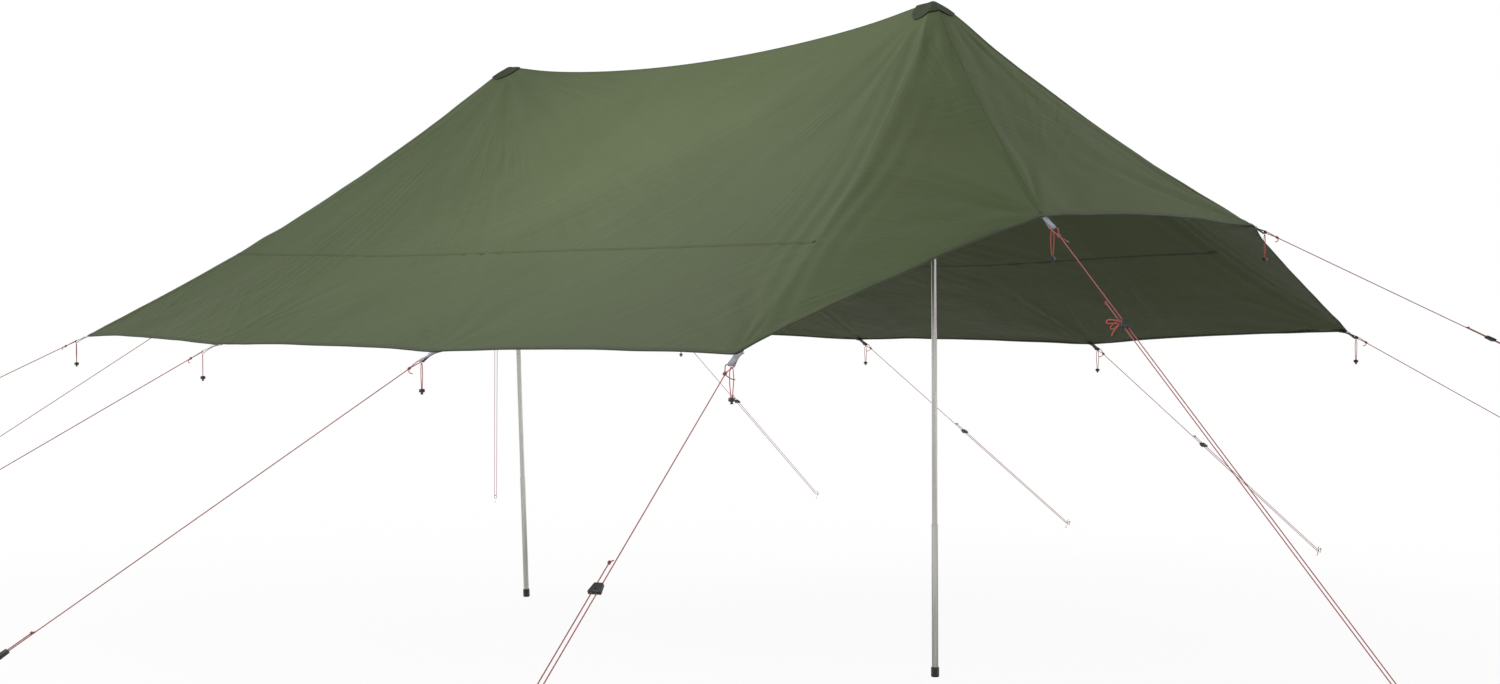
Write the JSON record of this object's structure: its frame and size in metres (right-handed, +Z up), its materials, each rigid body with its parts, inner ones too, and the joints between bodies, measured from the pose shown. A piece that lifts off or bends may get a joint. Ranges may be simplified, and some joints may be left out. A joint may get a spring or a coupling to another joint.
{
  "type": "tarp shelter",
  "caption": "Twelve-sided tarp shelter with a sagging ridge between two peaks, on two telescoping poles and held out by guy lines with sliding runners and pegs.",
  "frame": {"origin": "on the ground, midway between the two peaks", "axes": "+X along the ridge to the front peak, +Y across it to the far side, +Z up"},
  "size_m": [8.4137, 7.2827, 2.3068],
  "materials": {
    "sheet": "matt coated polyester, plain weave",
    "hem": "dark binding tape",
    "peak_patch": "heavy reinforced weave",
    "black_plastic": "matt moulded",
    "pole_tube": "galvanised, satin",
    "ferrule": "bright",
    "expander": "natural nylon",
    "webbing": "ribbed tape",
    "peg_steel": "zinc plated",
    "cord": "braided, with a pale fleck",
    "runner": "matt moulded"
  },
  "bodies": {
    "shelter": {"near_panel": "sheet", "far_panel": "sheet", "front_end_panel": "sheet", "rear_end_panel": "sheet", "hem_tape": "hem", "front_peak_patch": "peak_patch", "rear_peak_patch": "peak_patch", "front_peak_cup": "black_plastic", "rear_peak_cup": "black_plastic", "side_webbing": "webbing", "end_webbing": "webbing", "side_pegs": "peg_steel", "end_pegs": "peg_steel", "side_storage_loops": "cord", "end_storage_loops": "cord", "side_cord_locks": "black_plastic", "end_cord_locks": "black_plastic", "guy_line_01": "cord", "guy_line_02": "cord", "guy_line_03": "cord", "guy_line_04": "cord", "guy_line_05": "cord", "guy_line_06": "cord", "guy_line_07": "cord", "guy_line_08": "cord", "guy_line_09": "cord", "guy_line_10": "cord", "guy_line_11": "cord", "guy_line_12": "cord"},
    "front_pole": {"front_pole_tip": "black_plastic", "front_top_tube": "pole_tube", "front_upper_tube": "pole_tube", "front_middle_tube": "pole_tube", "front_slider_tube": "pole_tube", "front_ferrules": "ferrule", "front_expander": "expander"},
    "front_leg": {"front_lower_tube": "pole_tube", "front_foot_cap": "black_plastic"},
    "rear_pole": {"rear_pole_tip": "black_plastic", "rear_top_tube": "pole_tube", "rear_upper_tube": "pole_tube", "rear_middle_tube": "pole_tube", "rear_slider_tube": "pole_tube", "rear_ferrules": "ferrule", "rear_expander": "expander"},
    "rear_leg": {"rear_lower_tube": "pole_tube", "rear_foot_cap": "black_plastic"},
    "runner_01": {"runner_01": "runner"},
    "runner_02": {"runner_02": "runner"},
    "runner_03": {"runner_03": "runner"},
    "runner_04": {"runner_04": "runner"},
    "runner_05": {"runner_05": "runner"},
    "runner_06": {"runner_06": "runner"},
    "runner_07": {"runner_07": "runner"},
    "runner_08": {"runner_08": "runner"},
    "runner_09": {"runner_09": "runner"},
    "runner_10": {"runner_10": "runner"},
    "runner_11": {"runner_11": "runner"},
    "runner_12": {"runner_12": "runner"}
  },
  "joints": [
    {"name": "front_pole_swing", "type": "hinge", "parent": "shelter", "child": "front_pole", "pos_m": [1.196, 0, 2.28291], "axis": [0, 1, 0], "range_deg": [-6, 6]},
    {"name": "front_leg_slide", "type": "slide", "parent": "front_pole", "child": "front_leg", "axis": [0, 0, 1], "range_m": [0, 0.12]},
    {"name": "rear_pole_swing", "type": "hinge", "parent": "shelter", "child": "rear_pole", "pos_m": [-1.196, 0, 2.28291], "axis": [0, 1, 0], "range_deg": [-6, 6]},
    {"name": "rear_leg_slide", "type": "slide", "parent": "rear_pole", "child": "rear_leg", "axis": [-0.0171, -0.018, 0.9997], "range_m": [0, 0.12]},
    {"name": "runner_01_slide", "type": "slide", "parent": "shelter", "child": "runner_01", "axis": [0.513, 0.7372, 0.4397], "range_m": [-0.2, 0.06]},
    {"name": "runner_02_slide", "type": "slide", "parent": "shelter", "child": "runner_02", "axis": [0.3694, 0.7783, 0.5077], "range_m": [-0.2, 0.06]},
    {"name": "runner_03_slide", "type": "slide", "parent": "shelter", "child": "runner_03", "axis": [0.1106, 0.8461, 0.5214], "range_m": [-0.2, 0.06]},
    {"name": "runner_04_slide", "type": "slide", "parent": "shelter", "child": "runner_04", "axis": [-0.3458, 0.7811, 0.5199], "range_m": [-0.2, 0.06]},
    {"name": "runner_05_slide", "type": "slide", "parent": "shelter", "child": "runner_05", "axis": [-0.7332, 0.2372, 0.6373], "range_m": [-0.2, 0.06]},
    {"name": "runner_06_slide", "type": "slide", "parent": "shelter", "child": "runner_06", "axis": [-0.5611, -0.7151, 0.4169], "range_m": [-0.2, 0.06]},
    {"name": "runner_07_slide", "type": "slide", "parent": "shelter", "child": "runner_07", "axis": [-0.4456, -0.7741, 0.4498], "range_m": [-0.2, 0.06]},
    {"name": "runner_08_slide", "type": "slide", "parent": "shelter", "child": "runner_08", "axis": [-0.0154, -0.8675, 0.4972], "range_m": [-0.2, 0.06]},
    {"name": "runner_09_slide", "type": "slide", "parent": "shelter", "child": "runner_09", "axis": [0.0836, -0.869, 0.4877], "range_m": [-0.2, 0.06]},
    {"name": "runner_10_slide", "type": "slide", "parent": "shelter", "child": "runner_10", "axis": [0.3938, -0.8168, 0.4215], "range_m": [-0.2, 0.06]},
    {"name": "runner_11_slide", "type": "slide", "parent": "shelter", "child": "runner_11", "axis": [0.7063, -0.5128, 0.4881], "range_m": [-0.2, 0.06]},
    {"name": "runner_12_slide", "type": "slide", "parent": "shelter", "child": "runner_12", "axis": [0.6141, 0.5803, 0.5349], "range_m": [-0.2, 0.06]}
  ]
}
